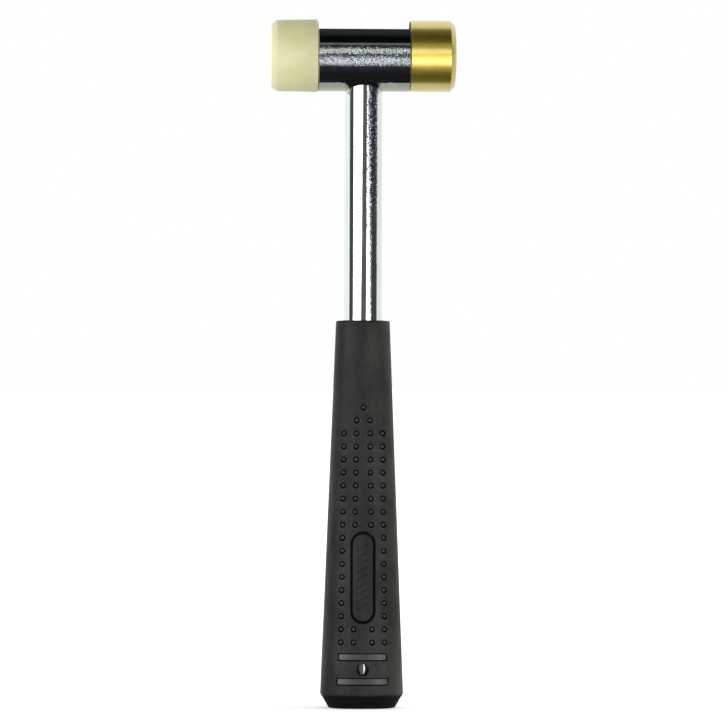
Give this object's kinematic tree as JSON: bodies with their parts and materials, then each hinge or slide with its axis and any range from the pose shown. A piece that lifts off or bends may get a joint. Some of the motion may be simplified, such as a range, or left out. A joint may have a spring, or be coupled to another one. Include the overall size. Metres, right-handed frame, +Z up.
{
  "type": "double-faced soft hammer",
  "caption": "Double-faced soft hammer: steel head with screw-on nylon and brass faces, chromed tube handle and tapered moulded rubber grip.",
  "frame": {"origin": "centre of the flat butt of the grip, the bottom of the hammer standing upright", "axes": "+Z up the handle to the head, +X along the head towards the brass face, -Y towards the front of the grip"},
  "size_m": [0.066, 0.0258, 0.2449],
  "materials": {
    "polished_steel": "polished over fine turning marks",
    "chrome_tube": "bright chrome plate",
    "brass": "satin turned",
    "nylon": "natural nylon, satin",
    "washer": "dark fibre",
    "plug_steel": "plain turned",
    "grip_rubber": "fine moulded matt"
  },
  "bodies": {
    "head": {"head_body": "polished_steel", "handle_tube": "chrome_tube", "tube_expander": "plug_steel", "tube_end_plug": "plug_steel", "grip": "grip_rubber"},
    "brass_washer": {"brass_face_washer": "washer"},
    "brass_face": {"brass_face": "brass"},
    "nylon_washer": {"nylon_face_washer": "washer"},
    "nylon_face": {"nylon_face": "nylon"}
  },
  "joints": [
    {"name": "brass_washer_slide", "type": "slide", "parent": "head", "child": "brass_washer", "axis": [1, 0, 0], "range_m": [0, 0.007]},
    {"name": "brass_face_screw", "type": "hinge", "parent": "brass_washer", "child": "brass_face", "pos_m": [0.0165, 0, 0.23205], "axis": [1, 0, 0], "range_deg": [0, 1440]},
    {"name": "nylon_washer_slide", "type": "slide", "parent": "head", "child": "nylon_washer", "axis": [-1, 0, 0], "range_m": [0, 0.007]},
    {"name": "nylon_face_screw", "type": "hinge", "parent": "nylon_washer", "child": "nylon_face", "pos_m": [-0.0165, 0, 0.23205], "axis": [-1, 0, 0], "range_deg": [0, 1440]}
  ],
  "couplings": [
    {"joint": "brass_washer_slide", "follows": "brass_face_screw", "m_per_rad": 0.00027852},
    {"joint": "nylon_washer_slide", "follows": "nylon_face_screw", "m_per_rad": 0.00027852}
  ]
}
